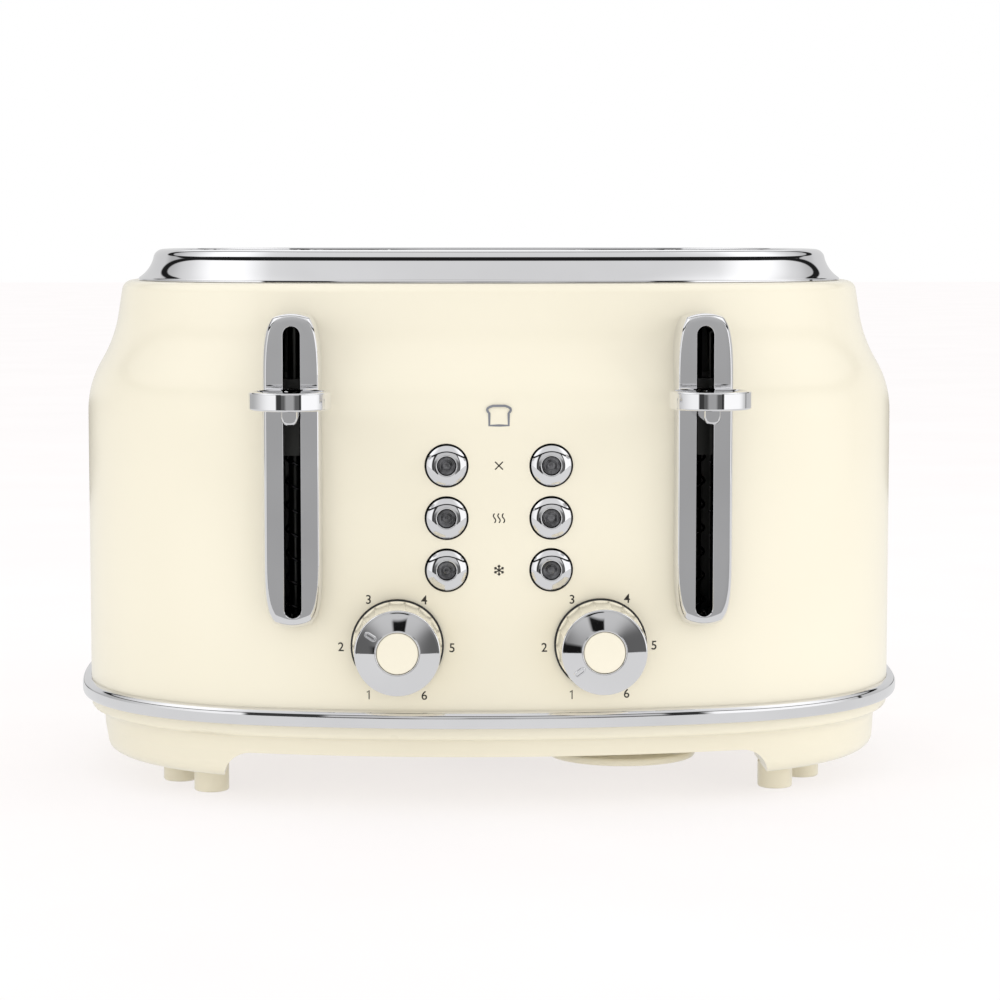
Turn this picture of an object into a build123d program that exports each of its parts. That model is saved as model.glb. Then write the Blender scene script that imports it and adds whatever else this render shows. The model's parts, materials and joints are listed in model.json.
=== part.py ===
from build123d import *
import os
from math import atan2, cos, hypot, pi, radians, sin

# Four-slice pop-up toaster with two independent two-slot units side by side.
# Millimetres, +Z up, X to the right, Y from front to back. The model is drawn about the middle of the
# body's plan and written with the origin under the middle of the overall footprint, on the worktop.

# ---- body plan: front, side and corner arcs that run into each other smoothly
BODY_WIDTH = 335.0
BODY_DEPTH = 273.8
FRONT_RADIUS = 366.7
SIDE_RADIUS = 377.4
CORNER_RADIUS = 96.8

# ---- body height and skin
FLOOR_Z = 0.0
FEET_TOP = 10.5
FOOT_RADIUS = 7.0
BASE_BOTTOM = 21.0
BASE_TOP = 32.8
BAND_TOP = 40.0
SHELL_BOTTOM = 39.2
SHOULDER_START = 150.0
BACK_PANEL_HALF_WIDTH = 100.0
BACK_PANEL_TOP = 142.0
SHELL_TOP = 203.4
OVERALL_TOP = 216.1
SKIN = 1.2
FIT = 0.3
RUNNING = 0.06

# ---- the two toasting units
UNIT_X = 78.8
SLOT_PITCH = 40.0
SLOT_WIDTH = 33.0
SLOT_LENGTH = 144.0
CHASSIS_Z = 29.4
CHASSIS_THICK = 1.2
OVEN_FRONT_Y = 82.8
OVEN_HALF_WIDTH = 43.0
OVEN_TOP = 198.0
GUARD_GAP = 14.4
REST_TOP = 136.5

# ---- controls on the front
GUIDE_FACE_Y = -137.0
GUIDE_LOW = 71.8
GUIDE_HIGH = 192.6
GUIDE_HALF_WIDTH = 11.4
GUIDE_FACE_HALF_WIDTH = 9.6
GUIDE_END = [(0, 0), (0.6, 1.4), (0.76, 3.5), (0.88, 7.0), (0.97, 14.0), (1, 26.0)]
SLOT_LOW = 76.3
SLOT_HIGH = 187.2
SLOT_GAP = 5.9
LEVER_Z = 160.45
LEVER_DOWN = 73.0
LEVER_UP = 20.0
LEVER_DISC_RADIUS = 15.5
LEVER_DISC_Y = -156.0
KNOB_X = 39.0
KNOB_Z = 65.5
KNOB_BACK_Y = -137.0
KNOB_FACE_Y = -160.6
POINTER_ANGLE = {"left": -57.4, "right": -128.5}
BUTTON_X = 20.0
BUTTON_ROWS = {"cancel": 134.4, "reheat": 114.3, "defrost": 94.3}
BUTTON_RADIUS = 7.75
BUTTON_HOLE_RADIUS = 8.42
BUTTON_FACE_Y = -139.0
BUTTON_TRAVEL = 2.5

# ---- feet, screws, cord spool, cord gland and crumb trays
INNER_FOOT = (113.5, 83.0)
OUTER_FOOT = (127.5, 59.0)
SCREWS = [(-30, -98), (30, -98), (-30, 98), (30, 98), (-136, 0), (136, 0)]
WRAP_X = 52.0
WRAP_Y = -72.0
GLAND_Z = 56.0
GLAND_BODY_RADIUS = 6.0
GLAND_BORE_RADIUS = 3.5
TRAY_HALF_WIDTH = 38.0
TRAY_Z = 23.4
TRAY_TOP = 28.2

# ---- heaters, guards, carriages, springs and rotary controls
GUARD_BARS = (70.0, 190.0)
BOARD_X = (-40.6, 0.0, 40.6)
BOARD_LOW = 64.0
BOARD_HIGH = 194.0
ROD_Y = -99.0
ROD_RADIUS = 2.5
PLATE_Y = -93.0
KEEPER_X = 17.0
KEEPER_Z = REST_TOP - 8.9
MAGNET_TOP = KEEPER_Z - LEVER_DOWN - 0.3
SPRING_RADIUS = 3.7
SPRING_WIRE = 0.5
SPRING_TURNS = 11
POT_FRONT = -116.0

# ---- the footprint's middle, from the levers in front to the band behind
BAND_REACH = 3.7
LEVER_REACH = LEVER_DISC_RADIUS - LEVER_DISC_Y
SHIFT_Y = (LEVER_REACH - BODY_DEPTH / 2 - BAND_REACH) / 2

SIDES = {"left": -1, "right": 1}


def write(name, shape):
    """Writes one sub-part, moved from the body's middle to the footprint's middle."""
    export_step(Pos(0, SHIFT_Y, 0) * shape, f"parts/{name}.step")


def group(solids):
    """Several separate solids that share one node."""
    return Compound([solid for shape in solids for solid in shape.solids()])


def block(x0, x1, y0, y1, z0, z1):
    """A box between two corners."""
    size = Box(x1 - x0, y1 - y0, z1 - z0)
    return Pos((x0 + x1) / 2, (y0 + y1) / 2, (z0 + z1) / 2) * size


def rod_y(x, z, y0, y1, radius):
    """A cylinder that runs front to back."""
    return Pos(x, (y0 + y1) / 2, z) * Rot(90, 0, 0) * Cylinder(radius, abs(y1 - y0))


def rod_z(x, y, z0, z1, radius):
    """An upright cylinder."""
    return Pos(x, y, (z0 + z1) / 2) * Cylinder(radius, z1 - z0)


def mirrored(shape, side):
    """The right-hand unit's shape, or its mirror image for the left."""
    if side == "right":
        return shape
    return mirror(shape, about=Plane.YZ)


# ---- plan outline and rings that follow it


def corner_centre():
    """Centre of the front right corner arc, which meets the front and side arcs tangentially."""
    front_y = FRONT_RADIUS - BODY_DEPTH / 2
    side_x = BODY_WIDTH / 2 - SIDE_RADIUS
    from_front = FRONT_RADIUS - CORNER_RADIUS
    from_side = SIDE_RADIUS - CORNER_RADIUS
    gap = hypot(side_x, front_y)
    along = (from_front**2 - from_side**2 + gap**2) / (2 * gap)
    across = (from_front**2 - along**2) ** 0.5
    ux = side_x / gap
    uy = -front_y / gap
    return ux * along - uy * across, front_y + uy * along + ux * across


def outline(inset):
    """The closed plan path at a distance inside the body's widest outline."""
    cx, cy = corner_centre()
    front_y = FRONT_RADIUS - BODY_DEPTH / 2
    side_x = BODY_WIDTH / 2 - SIDE_RADIUS
    start = atan2(cy - front_y, cx)
    end = atan2(cy, cx - side_x)
    middle = (start + end) / 2
    front = FRONT_RADIUS - inset
    corner = CORNER_RADIUS - inset
    side = SIDE_RADIUS - inset
    half_front = (start - pi / 2) / 2
    f = (0, front_y - front)
    h = (front * cos(half_front), front_y + front * sin(half_front))
    a = (front * cos(start), front_y + front * sin(start))
    m = (cx + corner * cos(middle), cy + corner * sin(middle))
    b = (side_x + side * cos(end), side * sin(end))
    s = (side_x + side, 0)

    def at(p, sx, sy):
        return (p[0] * sx, p[1] * sy)

    steps = [
        (f, h, a, 1, 1, 1),
        (a, m, b, 1, 1, 1),
        (b, s, b, 1, 1, -1),
        (b, m, a, 1, -1, -1),
        (a, f, a, 1, -1, -1),
        (a, m, b, -1, -1, -1),
        (b, s, b, -1, -1, 1),
        (b, m, a, -1, 1, 1),
        (a, h, f, -1, 1, 1),
    ]
    edges = []
    for first, mid, last, sx, sy_first, sy_last in steps:
        last_x = -sx if first is a and mid is f else sx
        edges.append(ThreePointArc(at(first, sx, sy_first), at(mid, sx, sy_first), at(last, last_x, sy_last)))
    return Wire(edges)


def slab(inset, z0, z1):
    """A plate with the body's plan."""
    return Pos(0, 0, z0) * extrude(make_face(outline(inset).edges()), z1 - z0)


def ring(edges):
    """Sweeps a closed section, given as (inset, height) lines, round the plan."""
    place = Plane(origin=(0, -BODY_DEPTH / 2, 0), x_dir=(0, 1, 0), z_dir=(1, 0, 0))
    return sweep(place * make_face(edges), path=outline(0))


def shoulder_line(depth):
    """The body's outer line from its bottom edge over the ogee shoulder, offset inwards by depth."""
    slope = 29.5
    upright = Line((depth, SHELL_BOTTOM), (depth, SHOULDER_START))
    round_out = JernArc(upright @ 1, upright % 1, 39.6 - depth, -slope)
    ramp = Line(round_out @ 1, round_out @ 1 + (round_out % 1) * 2.87)
    hollow = JernArc(ramp @ 1, ramp % 1, 53.6 + depth, slope - 9)
    steep = Line(hollow @ 1, hollow @ 1 + (hollow % 1) * 9.9)
    edge = JernArc(steep @ 1, steep % 1, 4.2 - depth, -81)
    return [upright, round_out, ramp, hollow, steep, edge]


def shell_section(thickness, flange):
    """Closed section of the body between its outer line and the same line offset inwards."""
    outer = shoulder_line(0)
    inner = shoulder_line(thickness)
    top = outer[-1] @ 1
    under = inner[-1] @ 1
    caps = [
        Line(outer[0] @ 0, inner[0] @ 0),
        Line(top, (flange, top.Y)),
        Line((flange, top.Y), (flange, under.Y)),
        Line((flange, under.Y), under),
    ]
    return outer + inner + caps


# ---- casing


def front_openings():
    """Cutters for the lever slots, button holes and dial shafts in the front."""
    cuts = []
    for x in (-UNIT_X, UNIT_X):
        cuts.append(block(x - 6, x + 6, -150, -95, GUIDE_LOW + 4, GUIDE_HIGH - 4.4))
    for x in (-BUTTON_X, BUTTON_X):
        for z in BUTTON_ROWS.values():
            cuts.append(rod_y(x, z, -150, -120, BUTTON_HOLE_RADIUS))
    for x in (-KNOB_X, KNOB_X):
        cuts.append(rod_y(x, KNOB_Z, -150, -120, 4.0))
    return cuts


def back_window(grow):
    """The part of the wall, between floor and shoulder, that the back panel fills."""
    half = BACK_PANEL_HALF_WIDTH + grow
    return block(-half, half, 100, 150, SHELL_BOTTOM - 1, BACK_PANEL_TOP + grow)


def body_shell():
    """Front, both ends and shoulder in one drawn steel skin, open at the back for its panel."""
    shell = ring(shell_section(SKIN, 27.0))
    for cut in front_openings():
        shell -= cut
    return shell - back_window(FIT)


def back_panel():
    """Steel panel that closes the back and carries the cord gland."""
    panel = ring(shell_section(SKIN, 27.0)) & back_window(0)
    return panel - rod_y(0, GLAND_Z, 120, 145, GLAND_BODY_RADIUS)


def fat_shell():
    """The body's outside as a thick wall, to cut front trims to its surface."""
    outer = shoulder_line(0)
    top = outer[-1] @ 1
    back = [Line(top, (45, top.Y)), Line((45, top.Y), (45, SHELL_BOTTOM)), Line((45, SHELL_BOTTOM), outer[0] @ 0)]
    return ring(outer + back)


def top_frame():
    """Chrome surround: a flared foot, a hollow flank and a rounded top edge."""
    wall = 1.8
    foot = Line((21.2, SHELL_TOP), (21.2, 204.0))
    flank = ThreePointArc((21.2, 204.0), (25.15, 208.3), (27.3, 212.8))
    edge = ThreePointArc((27.3, 212.8), (28.3, 214.9), (30.6, OVERALL_TOP))
    top = Line((30.6, OVERALL_TOP), (35.0, OVERALL_TOP))
    drop = Line((35.0, OVERALL_TOP), (35.0, 211.2))
    ledge = Line((35.0, 211.2), (29.4 + wall, 211.2))
    inner = ThreePointArc((29.4 + wall, 211.2), (27.4 + wall, 206.6), (24.6, SHELL_TOP))
    sole = Line((24.6, SHELL_TOP), (21.2, SHELL_TOP))
    return ring([foot, flank, edge, top, drop, ledge, inner, sole])


def rounded_slot(x, width, length, radius, z0, z1):
    """A prism with a rounded rectangular plan."""
    return Pos(x, 0, z0) * extrude(RectangleRounded(width, length, radius), z1 - z0)


def slot_centres():
    return [unit + half for unit in (-UNIT_X, UNIT_X) for half in (-SLOT_PITCH / 2, SLOT_PITCH / 2)]


def top_plate():
    """Steel panel inside the surround, with a rolled collar down into each toast slot."""
    plate = slab(35.0, 213.0, 214.3)
    wall = 1.2
    for x in slot_centres():
        plate += rounded_slot(x, SLOT_WIDTH + 2 * wall, SLOT_LENGTH + 2 * wall, 7.2, 203.0, 215.3)
    for x in slot_centres():
        plate -= rounded_slot(x, SLOT_WIDTH, SLOT_LENGTH, 6.0, 200.0, 220.0)
    return plate


def base_band():
    """Chrome trim between body and base: a half-round bead on a flat flange."""
    reach = -BAND_REACH
    low = ThreePointArc((-0.6, BASE_TOP), (-2.7, 33.6), (reach, 35.4))
    flat = Line((reach, 35.4), (reach, 37.4))
    high = ThreePointArc((reach, 37.4), (-2.7, 39.2), (-0.6, BAND_TOP))
    lip = Line((-0.6, BAND_TOP), (-0.1, BAND_TOP))
    seat = Polyline((-0.1, BAND_TOP), (-0.1, SHELL_BOTTOM - 0.1), (3.2, SHELL_BOTTOM - 0.1), (3.2, BASE_TOP + 1.2),
                    (3.2, BASE_TOP), (-0.6, BASE_TOP))
    return ring([low, flat, high, lip, seat])


def four_corners(x, y):
    return [(sx * x, sy * y) for sx in (-1, 1) for sy in (-1, 1)]


def base_legs():
    """Corner pads under the base, with arches between them and a flared column over each outer foot."""
    pads = slab(5.6, FEET_TOP, BASE_BOTTOM + 1) - slab(44.0, FEET_TOP - 1, BASE_BOTTOM + 2)
    outer_edges = pads.faces().sort_by(Axis.Z)[0].outer_wire().edges()
    pads = fillet(outer_edges, 6.0)
    for half, radius, view in ((107.0, 11.0, Plane.XZ), (58.0, 15.0, Plane.YZ)):
        arch = view * Pos(0, 4) * RectangleRounded(2 * half, 2 * (BASE_BOTTOM - 4), radius)
        pads -= extrude(arch, 200, both=True)
    height = BASE_BOTTOM + 1 - FEET_TOP
    for x, y in four_corners(*OUTER_FOOT):
        pads += Pos(x, y, FEET_TOP + height / 2) * Cone(FOOT_RADIUS + 0.6, FOOT_RADIUS + 3.5, height)
    return pads


def tray_slot(x, grow):
    half = TRAY_HALF_WIDTH + grow
    return block(x - half, x + half, 60, 150, TRAY_Z - grow, TRAY_TOP + grow)


def base_tray():
    """Moulded base: skirt under the band, floor, legs, screw bosses, vents and crumb tray slots."""
    lip = Line((0.1, BASE_TOP), (0.1, 30.2))
    nose = ThreePointArc((0.1, 30.2), (0.6, 28.8), (1.8, 28.2))
    cove = ThreePointArc((1.8, 28.2), (4.3, 27.0), (5.4, 24.4))
    skirt = Line((5.4, 24.4), (5.6, BASE_BOTTOM))
    inside = Polyline((5.6, BASE_BOTTOM), (8.0, BASE_BOTTOM), (8.0, 26.0), (3.0, 29.0), (3.0, BASE_TOP), (0.1, BASE_TOP))
    base = ring([lip, nose, cove, skirt, inside])
    base += slab(7.0, BASE_BOTTOM, BASE_BOTTOM + 2)
    base += base_legs()
    for x, y in SCREWS:
        base += rod_z(x, y, BASE_BOTTOM + 1, CHASSIS_Z, 4.5)
    for x, y in SCREWS:
        base -= rod_z(x, y, 0, CHASSIS_Z + 1, 1.9)
    for x in (-UNIT_X, UNIT_X):
        base -= tray_slot(x, FIT)
    for row in range(-4, 5):
        base -= block(-22, 22, row * 12 + 6, row * 12 + 9.5, BASE_BOTTOM - 1, BASE_BOTTOM + 3)
    return base


def feet():
    foot = rod_z(0, 0, FLOOR_Z, FEET_TOP, FOOT_RADIUS)
    foot = fillet(foot.faces().sort_by(Axis.Z)[0].edges(), 1.0)
    return group(Pos(x, y, 0) * foot for x, y in four_corners(*INNER_FOOT) + four_corners(*OUTER_FOOT))


def cord_wrap():
    """Spool under the base for spare mains lead: a neck and a round flange."""
    flange = rod_z(WRAP_X, WRAP_Y, 11.6, 14.6, 30.0)
    flange = fillet(flange.edges().filter_by(GeomType.CIRCLE), 1.2)
    neck = rod_z(WRAP_X, WRAP_Y, 14.6, BASE_BOTTOM, 21.0)
    return flange + neck


def case_screws():
    """Pan-head screws from under the base into the chassis plate."""
    solids = []
    for x, y in SCREWS:
        head = rod_z(x, y, BASE_BOTTOM - 2.2, BASE_BOTTOM, 3.6)
        head = fillet(head.faces().sort_by(Axis.Z)[0].edges(), 1.2)
        shank = rod_z(x, y, BASE_BOTTOM, CHASSIS_Z + CHASSIS_THICK, 1.6)
        cross = block(x - 2, x + 2, y - 0.4, y + 0.4, BASE_BOTTOM - 3, BASE_BOTTOM - 1)
        cross += block(x - 0.4, x + 0.4, y - 2, y + 2, BASE_BOTTOM - 3, BASE_BOTTOM - 1)
        solids.append(head + shank - cross)
    return group(solids)


def cord_gland():
    """Flanged bush in the back of the body that the mains lead passes through."""
    back = BODY_DEPTH / 2
    bush = rod_y(0, GLAND_Z, back - 9, back + 2.6, GLAND_BODY_RADIUS)
    flange = rod_y(0, GLAND_Z, back + 0.1, back + 2.6, 9.0)
    inner = rod_y(0, GLAND_Z, back - 4.0, back - SKIN - 0.2, 7.4)
    return bush + flange + inner - rod_y(0, GLAND_Z, back - 12, back + 5, GLAND_BORE_RADIUS)


# ---- chassis, ovens and crumb trays


def chassis_plate():
    """Steel pan that carries both ovens, open under each of them for the crumbs."""
    plate = slab(3.4, CHASSIS_Z, CHASSIS_Z + CHASSIS_THICK)
    for x in (-UNIT_X, UNIT_X):
        plate -= block(x - 36, x + 36, -76, 76, CHASSIS_Z - 1, CHASSIS_Z + 3)
    for x, y in SCREWS:
        plate -= rod_z(x, y, CHASSIS_Z - 1, CHASSIS_Z + 3, 1.6)
    return plate


def crumb_tray():
    """Shallow sheet tray with a grip that continues the base's skirt."""
    half = TRAY_HALF_WIDTH
    tray = block(UNIT_X - half, UNIT_X + half, -82, 100, TRAY_Z, TRAY_Z + 0.8)
    for x in (UNIT_X - half, UNIT_X + half - 0.8):
        tray += block(x, x + 0.8, -82, 100, TRAY_Z, TRAY_TOP)
    tray += block(UNIT_X - half, UNIT_X + half, -82, -81.2, TRAY_Z, TRAY_TOP)
    grip = slab(1.2, TRAY_Z, TRAY_TOP) - slab(8.6, TRAY_Z - 1, TRAY_TOP + 1)
    grip = grip & block(UNIT_X - half, UNIT_X + half, 60, 150, TRAY_Z, TRAY_TOP)
    floor = slab(8.0, TRAY_Z, TRAY_Z + 0.8) & block(UNIT_X - half, UNIT_X + half, 90, 150, TRAY_Z, TRAY_TOP)
    return tray + floor + grip


def rest_slots():
    """Heights that the bread rests sweep through in the oven's end plates."""
    return REST_TOP - 8 - LEVER_DOWN - 2, REST_TOP + LEVER_UP + 2


def oven_frame():
    """Sheet box round two slots: slotted end plates, bright side walls and the rod's top bracket."""
    half = OVEN_HALF_WIDTH
    x0 = UNIT_X - half
    x1 = UNIT_X + half
    bottom = CHASSIS_Z + CHASSIS_THICK
    low, high = rest_slots()
    oven = Part()
    for sign in (-1, 1):
        near = sign * OVEN_FRONT_Y
        far = sign * (OVEN_FRONT_Y + 1.2)
        oven += block(x0, x1, min(near, far), max(near, far), bottom, OVEN_TOP)
    for x in (x0, x1 - 0.8):
        oven += block(x, x + 0.8, -OVEN_FRONT_Y, OVEN_FRONT_Y, 46, OVEN_TOP)
    for x in (UNIT_X - SLOT_PITCH / 2, UNIT_X + SLOT_PITCH / 2):
        oven -= block(x - 1.6, x + 1.6, -90, 90, low, high)
        for guard in (-1, 1):
            for z in GUARD_BARS:
                middle = x + guard * (GUARD_GAP - 2)
                oven -= block(middle - 6, middle + 6, -90, 90, z - 1.7, z + 1.7)
    bracket = block(UNIT_X - 7, UNIT_X + 7, -104, -OVEN_FRONT_Y, 196, 197.2)
    return oven + bracket


def heater_boards():
    """Mica sheets on each side of the slots that carry the element ribbon, with hang-up notches."""
    solids = []
    for unit in (-UNIT_X, UNIT_X):
        for x in BOARD_X:
            board = block(unit + x - 0.4, unit + x + 0.4, -82.4, 82.4, BOARD_LOW, BOARD_HIGH)
            for y in (-60, 0, 60):
                board -= block(unit + x - 1, unit + x + 1, y - 4, y + 4, BOARD_HIGH - 3, BOARD_HIGH + 1)
            solids.append(board)
    return group(solids)


def heating_wires(side):
    """Flat resistance ribbon on every board face that looks at bread."""
    unit = SIDES[side] * UNIT_X
    faces = ((BOARD_X[0], 1), (BOARD_X[1], -1), (BOARD_X[1], 1), (BOARD_X[2], -1))
    solids = []
    for x, direction in faces:
        inner = unit + x + direction * 0.4
        outer = inner + direction * 0.25
        for turn in range(12):
            z = BOARD_LOW + 8 + turn * 10
            solids.append(block(min(inner, outer), max(inner, outer), -76, 76, z, z + 1.3))
    return group(solids)


def bread_guards(side, direction):
    """Wire grids on one side of both slots; they close on the bread when the lever goes down."""
    unit = SIDES[side] * UNIT_X
    solids = []
    for slot in (-SLOT_PITCH / 2, SLOT_PITCH / 2):
        x = unit + slot - direction * GUARD_GAP
        grid = Part()
        for z in GUARD_BARS:
            grid += rod_y(x, z, -86.5, 86.5, 1.2)
        for step in range(-4, 5):
            grid += rod_z(x, step * 16, GUARD_BARS[0], GUARD_BARS[1], 0.9)
        solids.append(grid)
    return group(solids)


# ---- lever carriage of one unit


def carriage_rods():
    bottom = CHASSIS_Z + CHASSIS_THICK
    return group(rod_z(x, ROD_Y, bottom, 196, ROD_RADIUS) for x in (-UNIT_X, UNIT_X))


def carriage_plate():
    """Pressed carriage: cross plate, bush on the guide rod, arm out to the lever and keeper tab."""
    x = UNIT_X
    plate = block(x - 27, x + 27, PLATE_Y - 1.6, PLATE_Y, REST_TOP - 8.5, 168)
    plate += block(x - 7, x + 7, -105, PLATE_Y - 1.6, 136, 166)
    plate += block(x - 1.25, x + 1.25, -133, -105, 153.4, 162.6)
    plate += block(x + 9, x + 25, -114, PLATE_Y - 1.6, KEEPER_Z + 2, KEEPER_Z + 3.6)
    plate -= rod_z(x, ROD_Y, 100, 200, ROD_RADIUS + RUNNING)
    for dx in (-16, 16):
        plate -= rod_y(x + dx, 155, -100, -90, 4.0)
    return plate


def keeper_plate():
    """Soft iron plate that the electromagnet holds while toasting."""
    x = UNIT_X + KEEPER_X
    return block(x - 7.5, x + 7.5, -113, -101, KEEPER_Z, KEEPER_Z + 2)


def latch_magnets():
    """Electromagnets on the chassis: an iron core in a wound bobbin, over a foot plate."""
    solids = []
    bottom = CHASSIS_Z + CHASSIS_THICK
    for sign in (-1, 1):
        x = sign * (UNIT_X + KEEPER_X)
        magnet = block(x - 8, x + 8, -114, -100, bottom, bottom + 2)
        magnet += rod_z(x, -107, bottom, MAGNET_TOP, 3.0)
        magnet += rod_z(x, -107, bottom + 3, MAGNET_TOP - 2, 6.6)
        magnet += block(x - 8, x - 6.9, -112, -102, bottom, MAGNET_TOP)
        magnet += block(x + 6.9, x + 8, -112, -102, bottom, MAGNET_TOP)
        solids.append(magnet)
    return group(solids)


def bread_rests():
    """Two notched rails that carry the slices, pinned to the back of the cross plate."""
    solids = []
    for slot in (-SLOT_PITCH / 2, SLOT_PITCH / 2):
        x = UNIT_X + slot
        rail = block(x - 0.6, x + 0.6, PLATE_Y, 88, REST_TOP - 8, REST_TOP)
        for step in range(-3, 4):
            rail += block(x - 5, x + 5, step * 20 - 3, step * 20 + 3, REST_TOP - 1.2, REST_TOP)
        for step in range(-3, 3):
            rail -= block(x - 2, x + 2, step * 20 + 7, step * 20 + 13, REST_TOP - 2.5, REST_TOP + 1)
        solids.append(rail)
    return group(solids)


def return_spring():
    """Compression spring on the guide rod, between the chassis and the carriage's bush."""
    low = CHASSIS_Z + CHASSIS_THICK + SPRING_WIRE + 0.1
    high = 136 - SPRING_WIRE - 0.4
    path = Helix(pitch=(high - low) / SPRING_TURNS, height=high - low, radius=SPRING_RADIUS)
    coil = sweep(Plane(origin=path @ 0, z_dir=path % 0) * Circle(SPRING_WIRE), path=path, is_frenet=True)
    return Pos(UNIT_X, ROD_Y, low) * coil


# ---- lever guide and lever


def bullet(half_width, low, high):
    """Upright outline with blunt bullet ends: nearly flat tips, rounded shoulders and long tapering flanks."""
    steps = [(share * half_width, drop) for share, drop in GUIDE_END]
    right_top = Spline([(x, high - drop) for x, drop in steps], tangents=[(1, 0), (0, -1)])
    right = Line((half_width, high - GUIDE_END[-1][1]), (half_width, low + GUIDE_END[-1][1]))
    right_low = Spline([(x, low + drop) for x, drop in reversed(steps)], tangents=[(0, -1), (-1, 0)])
    half = [right_top, right, right_low]
    return make_face(half + [edge.mirror(Plane.YZ) for edge in half])


def facing_front(y):
    """Work plane at depth y, seen from the front, with X to the right and Z up."""
    return Plane(origin=(UNIT_X, y, 0), x_dir=(1, 0, 0), z_dir=(0, -1, 0))


def lever_guide(body):
    """Chrome bezel round the lever's slot, with drafted flanks, cut to sit on the curved body."""
    root = bullet(GUIDE_HALF_WIDTH, GUIDE_LOW, GUIDE_HIGH)
    face = bullet(GUIDE_FACE_HALF_WIDTH, GUIDE_LOW + 3.6, GUIDE_HIGH - 1.6)
    bezel = extrude(facing_front(-132.0) * root, -24)
    bezel += loft([facing_front(-132.0) * root, facing_front(GUIDE_FACE_Y) * face])
    bezel -= body
    slot = SlotOverall(SLOT_HIGH - SLOT_LOW, SLOT_GAP, rotation=90)
    return bezel - extrude(facing_front(-90) * Pos(0, (SLOT_LOW + SLOT_HIGH) / 2) * slot, 60)


def lever_knob():
    """Round chrome finger disc on a flat neck that runs into the slot."""
    disc = rod_z(UNIT_X, LEVER_DISC_Y, LEVER_Z - 3.45, LEVER_Z + 3.45, LEVER_DISC_RADIUS)
    disc = fillet(disc.edges().filter_by(GeomType.CIRCLE), 1.0)
    neck = block(UNIT_X - 3, UNIT_X + 3, -163, GUIDE_FACE_Y - 0.6, LEVER_Z - 9.0, LEVER_Z)
    neck = fillet(neck.edges().filter_by(Axis.X).sort_by(Axis.Y)[0:2].sort_by(Axis.Z)[0], 4.0)
    tongue = block(UNIT_X - 2.2, UNIT_X + 2.2, GUIDE_FACE_Y - 0.6, -133, LEVER_Z - 7.5, LEVER_Z + 2.5)
    root = block(UNIT_X - 2.2, UNIT_X + 2.2, LEVER_DISC_Y, GUIDE_FACE_Y - 0.6, LEVER_Z - 2.5, LEVER_Z + 2.5)
    return disc + neck + tongue + root


# ---- buttons


def button_cap(x, z):
    """Domed chrome ring that slides in the button housing."""
    cap = rod_y(x, z, BUTTON_FACE_Y, BUTTON_FACE_Y + 11, BUTTON_RADIUS)
    cap = fillet(cap.faces().sort_by(Axis.Y)[0].edges(), 1.6)
    dish = Pos(x, BUTTON_FACE_Y, z) * Rot(90, 0, 0) * Cone(3.55, 4.6, 1.4)
    return cap - dish - rod_y(x, z, BUTTON_FACE_Y - 1, BUTTON_FACE_Y + 12, 3.55)


def button_lens(x, z):
    """Smoked light pipe in the middle of a button, which presses the switch."""
    lens = rod_y(x, z, BUTTON_FACE_Y + 1.2, -128.4, 3.5)
    lens = fillet(lens.faces().sort_by(Axis.Y)[0].edges(), 0.6)
    return lens + rod_y(x, z, -128.4, -122.0, 2.4)


def button_housing():
    """Moulding behind the front panel with a guide sleeve for each button."""
    housing = block(-31, 31, -126, -124, 84, 145)
    places = [(x, z) for x in (-BUTTON_X, BUTTON_X) for z in BUTTON_ROWS.values()]
    for x, z in places:
        housing += rod_y(x, z, -134.2, -124, 9.3)
    for x, z in places:
        housing -= rod_y(x, z, -136, -120, BUTTON_RADIUS + FIT)
    return housing


# ---- browning dials


def knob_body():
    """Fluted skirt with a plain round centre."""
    radius = 17.15
    flutes = 18
    skirt = rod_y(KNOB_X, KNOB_Z, KNOB_BACK_Y, KNOB_FACE_Y + 3.0, radius)
    for step in range(flutes):
        angle = radians(360 / flutes * step)
        x = KNOB_X + (radius + 2.5) * sin(angle)
        z = KNOB_Z + (radius + 2.5) * cos(angle)
        skirt -= rod_y(x, z, KNOB_BACK_Y - 25, KNOB_FACE_Y + 25, 2.95)
    centre = rod_y(KNOB_X, KNOB_Z, KNOB_FACE_Y, KNOB_FACE_Y + 3.0, 7.9)
    centre = fillet(centre.faces().sort_by(Axis.Y)[0].edges(), 0.5)
    return skirt + centre - rod_y(KNOB_X, KNOB_Z, -151, KNOB_BACK_Y + 1, 3.0)


def pointer_bar(angle, y0, y1):
    """Small round-ended bar set radially in the dial's face, clockwise from straight up."""
    bar = Plane(origin=(KNOB_X, y1, KNOB_Z), x_dir=(1, 0, 0), z_dir=(0, -1, 0))
    shape = Rot(0, 0, 90 - angle) * Pos(12.0, 0) * SlotOverall(5.0, 2.3)
    return extrude(bar * shape, y1 - y0)


def knob_ring(angle):
    """Chrome face plate of the dial, sloping to its rim, with a window for the pointer."""
    disc = rod_y(KNOB_X, KNOB_Z, KNOB_FACE_Y + 1.2, KNOB_FACE_Y + 3.0, 16.3)
    cone = Pos(KNOB_X, KNOB_FACE_Y + 0.6, KNOB_Z) * Rot(90, 0, 0) * Cone(16.3, 14.6, 1.2)
    hole = rod_y(KNOB_X, KNOB_Z, KNOB_FACE_Y - 1, KNOB_FACE_Y + 4, 7.9)
    return disc + cone - hole - pointer_bar(angle, KNOB_FACE_Y - 1, KNOB_FACE_Y + 4)


def knob_shaft():
    return rod_y(KNOB_X, KNOB_Z, -151, POT_FRONT + 3.6, 3.0)


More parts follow.
